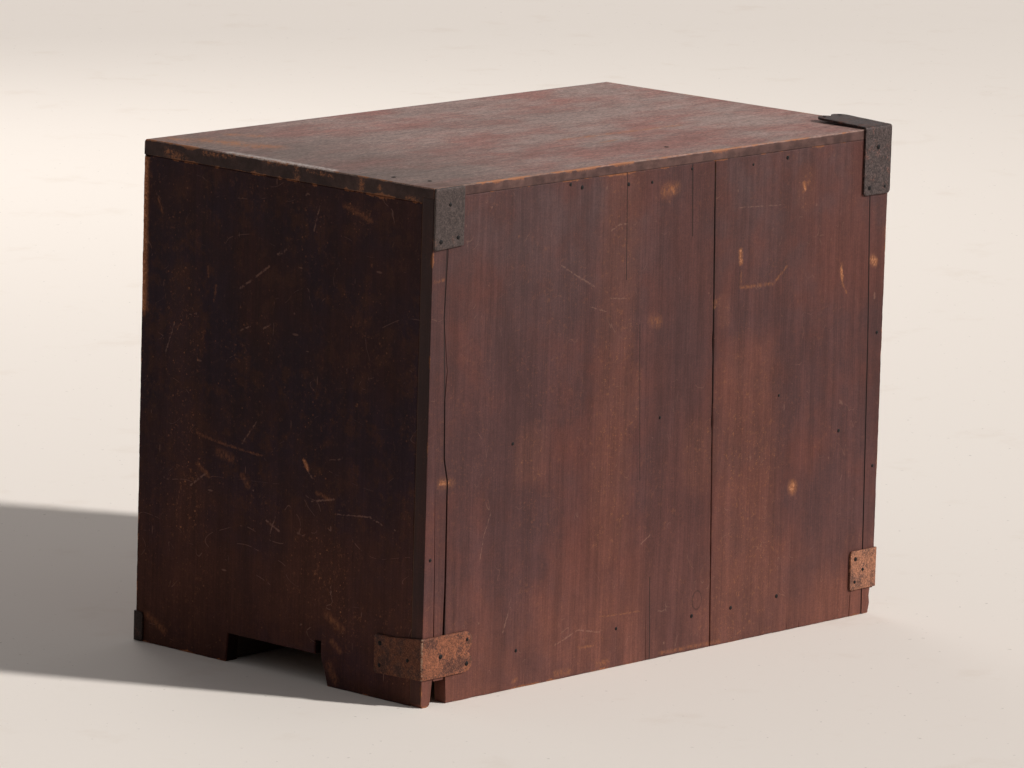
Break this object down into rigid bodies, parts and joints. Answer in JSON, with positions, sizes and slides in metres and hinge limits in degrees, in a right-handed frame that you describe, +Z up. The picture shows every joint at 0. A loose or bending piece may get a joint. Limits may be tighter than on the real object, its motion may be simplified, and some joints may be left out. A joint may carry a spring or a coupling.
{
  "type": "tansu chest",
  "caption": "Low plank chest with wide and small sliding drawers, a hinged door, swinging bail pulls, a base rail and bent iron corner straps.",
  "frame": {"origin": "on the floor, under the middle of the outer box, with the pulls and irons counted", "axes": "+X towards the door's side, -Y out of the drawer fronts, +Y out of the nailed back, +Z up"},
  "size_m": [0.6106, 0.3671, 0.4597],
  "materials": {
    "lacquered_wood": "thin old maroon lacquer, scratched",
    "worn_top_wood": "greyed and worn through lacquer",
    "bare_inner_wood": "bare, planed",
    "rusty_iron": "wrought, rusted"
  },
  "bodies": {
    "carcass": {"top_board": "worn_top_wood", "bottom_board": "bare_inner_wood", "left_side_board": "lacquered_wood", "right_side_board": "lacquered_wood", "middle_shelf": "bare_inner_wood", "upper_shelf": "bare_inner_wood", "lower_shelf": "bare_inner_wood", "lower_divider": "bare_inner_wood", "base_rail": "lacquered_wood", "foot_stretcher": "bare_inner_wood", "back_board_wide": "lacquered_wood", "back_board_narrow": "lacquered_wood", "rear_foot_right_iron": "rusty_iron", "rear_foot_left_iron": "rusty_iron", "rear_top_left_iron": "rusty_iron", "rear_top_right_iron": "rusty_iron", "front_foot_left_iron": "rusty_iron", "front_foot_right_iron": "rusty_iron", "front_top_left_iron": "rusty_iron", "front_top_right_iron": "rusty_iron", "upper_hinge_case_leaf": "rusty_iron", "lower_hinge_case_leaf": "rusty_iron"},
    "top_drawer_body": {"top_drawer_front": "lacquered_wood", "top_drawer_left_side": "bare_inner_wood", "top_drawer_right_side": "bare_inner_wood", "top_drawer_back": "bare_inner_wood", "top_drawer_bottom": "bare_inner_wood", "top_drawer_left_pull_plate": "rusty_iron", "top_drawer_right_pull_plate": "rusty_iron"},
    "top_drawer_left_pull_bail": {"top_drawer_left_pull": "rusty_iron"},
    "top_drawer_right_pull_bail": {"top_drawer_right_pull": "rusty_iron"},
    "middle_drawer_body": {"middle_drawer_front": "lacquered_wood", "middle_drawer_left_side": "bare_inner_wood", "middle_drawer_right_side": "bare_inner_wood", "middle_drawer_back": "bare_inner_wood", "middle_drawer_bottom": "bare_inner_wood", "middle_drawer_left_pull_plate": "rusty_iron", "middle_drawer_right_pull_plate": "rusty_iron"},
    "middle_drawer_left_pull_bail": {"middle_drawer_left_pull": "rusty_iron"},
    "middle_drawer_right_pull_bail": {"middle_drawer_right_pull": "rusty_iron"},
    "small_drawer_upper_body": {"small_drawer_upper_front": "lacquered_wood", "small_drawer_upper_left_side": "bare_inner_wood", "small_drawer_upper_right_side": "bare_inner_wood", "small_drawer_upper_back": "bare_inner_wood", "small_drawer_upper_bottom": "bare_inner_wood", "small_drawer_upper_pull_plate": "rusty_iron"},
    "small_drawer_upper_pull_bail": {"small_drawer_upper_pull": "rusty_iron"},
    "small_drawer_lower_body": {"small_drawer_lower_front": "lacquered_wood", "small_drawer_lower_left_side": "bare_inner_wood", "small_drawer_lower_right_side": "bare_inner_wood", "small_drawer_lower_back": "bare_inner_wood", "small_drawer_lower_bottom": "bare_inner_wood", "small_drawer_lower_pull_plate": "rusty_iron"},
    "small_drawer_lower_pull_bail": {"small_drawer_lower_pull": "rusty_iron"},
    "door_body": {"door_board": "lacquered_wood", "door_lock_plate": "rusty_iron", "upper_hinge_door_leaf": "rusty_iron", "lower_hinge_door_leaf": "rusty_iron"},
    "door_ring_body": {"door_ring": "rusty_iron"},
    "door_bolt_body": {"door_lock_bolt": "rusty_iron"}
  },
  "joints": [
    {"name": "top_drawer_slide", "type": "slide", "parent": "carcass", "child": "top_drawer_body", "axis": [0, -1, 0], "range_m": [0, 0.26]},
    {"name": "top_drawer_left_pull_swing", "type": "hinge", "parent": "top_drawer_body", "child": "top_drawer_left_pull_bail", "pos_m": [-0.145, -0.17905, 0.40358], "axis": [-1, 0, 0], "range_deg": [-5, 165]},
    {"name": "top_drawer_right_pull_swing", "type": "hinge", "parent": "top_drawer_body", "child": "top_drawer_right_pull_bail", "pos_m": [0.145, -0.17905, 0.40358], "axis": [-1, 0, 0], "range_deg": [-5, 165]},
    {"name": "middle_drawer_slide", "type": "slide", "parent": "carcass", "child": "middle_drawer_body", "axis": [0, -1, 0], "range_m": [0, 0.26]},
    {"name": "middle_drawer_left_pull_swing", "type": "hinge", "parent": "middle_drawer_body", "child": "middle_drawer_left_pull_bail", "pos_m": [-0.145, -0.17905, 0.29083], "axis": [-1, 0, 0], "range_deg": [-5, 165]},
    {"name": "middle_drawer_right_pull_swing", "type": "hinge", "parent": "middle_drawer_body", "child": "middle_drawer_right_pull_bail", "pos_m": [0.145, -0.17905, 0.29083], "axis": [-1, 0, 0], "range_deg": [-5, 165]},
    {"name": "small_drawer_upper_slide", "type": "slide", "parent": "carcass", "child": "small_drawer_upper_body", "axis": [0, -1, 0], "range_m": [0, 0.26]},
    {"name": "small_drawer_upper_pull_swing", "type": "hinge", "parent": "small_drawer_upper_body", "child": "small_drawer_upper_pull_bail", "pos_m": [-0.126, -0.17905, 0.18346], "axis": [-1, 0, 0], "range_deg": [-5, 165]},
    {"name": "small_drawer_lower_slide", "type": "slide", "parent": "carcass", "child": "small_drawer_lower_body", "axis": [0, -1, 0], "range_m": [0, 0.26]},
    {"name": "small_drawer_lower_pull_swing", "type": "hinge", "parent": "small_drawer_lower_body", "child": "small_drawer_lower_pull_bail", "pos_m": [-0.126, -0.17905, 0.09121], "axis": [-1, 0, 0], "range_deg": [-5, 165]},
    {"name": "door_hinge", "type": "hinge", "parent": "carcass", "child": "door_body", "pos_m": [0.28725, -0.17595, 0.12675], "axis": [0, 0, 1], "range_deg": [0, 170]},
    {"name": "door_ring_swing", "type": "hinge", "parent": "door_body", "child": "door_ring_body", "pos_m": [0.0755, -0.17895, 0.12275], "axis": [-1, 0, 0], "range_deg": [-5, 165]},
    {"name": "door_bolt_slide", "type": "slide", "parent": "door_body", "child": "door_bolt_body", "axis": [-1, 0, 0], "range_m": [0, 0.007]}
  ]
}
